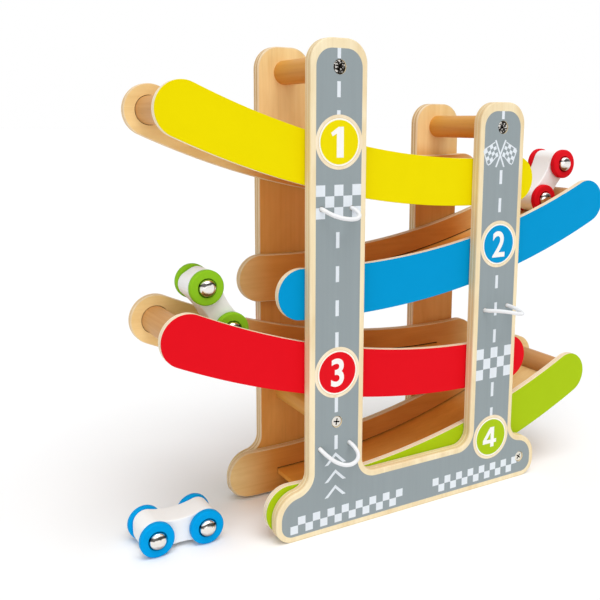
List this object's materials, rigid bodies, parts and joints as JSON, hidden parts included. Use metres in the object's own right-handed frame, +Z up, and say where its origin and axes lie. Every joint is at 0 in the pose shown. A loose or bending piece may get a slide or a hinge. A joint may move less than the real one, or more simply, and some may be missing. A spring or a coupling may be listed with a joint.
{
  "type": "wooden car ramp racer",
  "caption": "Plywood toy racing track: two frame panels hold zigzag curved ramps, and small two-axle cars roll down and flip from ramp to ramp.",
  "frame": {"origin": "middle of the front frame panel's flat underside, on its mid-plane and midway between the uprights", "axes": "+X along the numbered front face to its right, +Y from the front panel to the back panel, +Z up"},
  "size_m": [0.3455, 0.0919, 0.2957],
  "materials": {
    "ply": "sanded, clear matt lacquer",
    "dowel": "sanded, clear matt lacquer",
    "yellow_paint": "painted satin",
    "blue_paint": "painted satin",
    "red_paint": "painted satin",
    "green_paint": "painted satin",
    "dark_steel": "dark screw steel",
    "bright_steel": "bright nickel",
    "cord": "white woven cord",
    "white_paint": "painted matt",
    "green_wheel": "gloss",
    "red_wheel": "gloss",
    "blue_wheel": "gloss"
  },
  "bodies": {
    "frame": {"front_frame_panel": "ply", "back_frame_panel": "ply", "top_left_dowel": "dowel", "top_left_front_screw": "dark_steel", "top_left_back_screw": "dark_steel", "top_right_dowel": "dowel", "top_right_front_screw": "dark_steel", "top_right_back_screw": "dark_steel", "lower_left_dowel": "dowel", "lower_left_front_screw": "bright_steel", "lower_left_back_screw": "bright_steel", "right_foot_dowel": "dowel", "right_foot_front_screw": "bright_steel", "right_foot_back_screw": "bright_steel", "yellow_ramp_front_side": "yellow_paint", "yellow_ramp_back_side": "yellow_paint", "yellow_ramp_floor": "ply", "yellow_ramp_start_dowel": "dowel", "blue_ramp_front_side": "blue_paint", "blue_ramp_back_side": "blue_paint", "blue_ramp_floor": "ply", "blue_ramp_start_dowel": "dowel", "red_ramp_front_side": "red_paint", "red_ramp_back_side": "red_paint", "red_ramp_floor": "ply", "red_ramp_start_dowel": "dowel", "green_ramp_front_side": "green_paint", "green_ramp_back_side": "green_paint", "green_ramp_floor": "ply", "green_ramp_start_dowel": "dowel", "upper_left_cord": "cord", "right_cord": "cord", "lower_left_cord": "cord"},
    "green_car_lead_near_wheel": {"green_car_lead_near_wheel": "green_wheel"},
    "green_car_lead_far_wheel": {"green_car_lead_far_wheel": "green_wheel"},
    "green_car_tail_near_wheel": {"green_car_tail_near_wheel": "green_wheel"},
    "green_car_tail_far_wheel": {"green_car_tail_far_wheel": "green_wheel"},
    "green_car": {"green_car_body": "white_paint", "green_car_lead_axle": "bright_steel", "green_car_tail_axle": "bright_steel"},
    "red_car_lead_near_wheel": {"red_car_lead_near_wheel": "red_wheel"},
    "red_car_lead_far_wheel": {"red_car_lead_far_wheel": "red_wheel"},
    "red_car_tail_near_wheel": {"red_car_tail_near_wheel": "red_wheel"},
    "red_car_tail_far_wheel": {"red_car_tail_far_wheel": "red_wheel"},
    "red_car": {"red_car_body": "white_paint", "red_car_lead_axle": "bright_steel", "red_car_tail_axle": "bright_steel"},
    "blue_car_lead_near_wheel": {"blue_car_lead_near_wheel": "blue_wheel"},
    "blue_car_lead_far_wheel": {"blue_car_lead_far_wheel": "blue_wheel"},
    "blue_car_tail_near_wheel": {"blue_car_tail_near_wheel": "blue_wheel"},
    "blue_car_tail_far_wheel": {"blue_car_tail_far_wheel": "blue_wheel"},
    "blue_car": {"blue_car_body": "white_paint", "blue_car_lead_axle": "bright_steel", "blue_car_tail_axle": "bright_steel"}
  },
  "joints": [
    {"name": "green_car_flip", "type": "hinge", "parent": "frame", "child": "green_car", "pos_m": [-0.11884, 0.0338, 0.12908], "axis": [0, 1, 0], "range_deg": [-21, 29.5]},
    {"name": "green_car_lead_near_spin", "type": "hinge", "parent": "green_car", "child": "green_car_lead_near_wheel", "pos_m": [-0.11884, 0.0338, 0.12908], "axis": [0, 1, 0], "continuous": true},
    {"name": "green_car_lead_far_spin", "type": "hinge", "parent": "green_car", "child": "green_car_lead_far_wheel", "pos_m": [-0.11884, 0.0338, 0.12908], "axis": [0, 1, 0], "continuous": true},
    {"name": "green_car_tail_near_spin", "type": "hinge", "parent": "green_car", "child": "green_car_tail_near_wheel", "pos_m": [-0.13414, 0.0338, 0.15558], "axis": [0, 1, 0], "continuous": true},
    {"name": "green_car_tail_far_spin", "type": "hinge", "parent": "green_car", "child": "green_car_tail_far_wheel", "pos_m": [-0.13414, 0.0338, 0.15558], "axis": [0, 1, 0], "continuous": true},
    {"name": "red_car_flip", "type": "hinge", "parent": "frame", "child": "red_car", "pos_m": [0.12741, 0.0338, 0.19461], "axis": [0, 1, 0], "range_deg": [-35.5, 15]},
    {"name": "red_car_lead_near_spin", "type": "hinge", "parent": "red_car", "child": "red_car_lead_near_wheel", "pos_m": [0.12741, 0.0338, 0.19461], "axis": [0, 1, 0], "continuous": true},
    {"name": "red_car_lead_far_spin", "type": "hinge", "parent": "red_car", "child": "red_car_lead_far_wheel", "pos_m": [0.12741, 0.0338, 0.19461], "axis": [0, 1, 0], "continuous": true},
    {"name": "red_car_tail_near_spin", "type": "hinge", "parent": "red_car", "child": "red_car_tail_near_wheel", "pos_m": [0.14517, 0.0338, 0.21952], "axis": [0, 1, 0], "continuous": true},
    {"name": "red_car_tail_far_spin", "type": "hinge", "parent": "red_car", "child": "red_car_tail_far_wheel", "pos_m": [0.14517, 0.0338, 0.21952], "axis": [0, 1, 0], "continuous": true},
    {"name": "blue_car_roll", "type": "slide", "parent": "frame", "child": "blue_car", "axis": [1, 0, 0], "range_m": [-0.12, 0.05]},
    {"name": "blue_car_lead_near_spin", "type": "hinge", "parent": "blue_car", "child": "blue_car_lead_near_wheel", "pos_m": [-0.1673, 0.0338, 0.0104], "axis": [0, 1, 0], "continuous": true},
    {"name": "blue_car_lead_far_spin", "type": "hinge", "parent": "blue_car", "child": "blue_car_lead_far_wheel", "pos_m": [-0.1673, 0.0338, 0.0104], "axis": [0, 1, 0], "continuous": true},
    {"name": "blue_car_tail_near_spin", "type": "hinge", "parent": "blue_car", "child": "blue_car_tail_near_wheel", "pos_m": [-0.1367, 0.0338, 0.0104], "axis": [0, 1, 0], "continuous": true},
    {"name": "blue_car_tail_far_spin", "type": "hinge", "parent": "blue_car", "child": "blue_car_tail_far_wheel", "pos_m": [-0.1367, 0.0338, 0.0104], "axis": [0, 1, 0], "continuous": true}
  ]
}
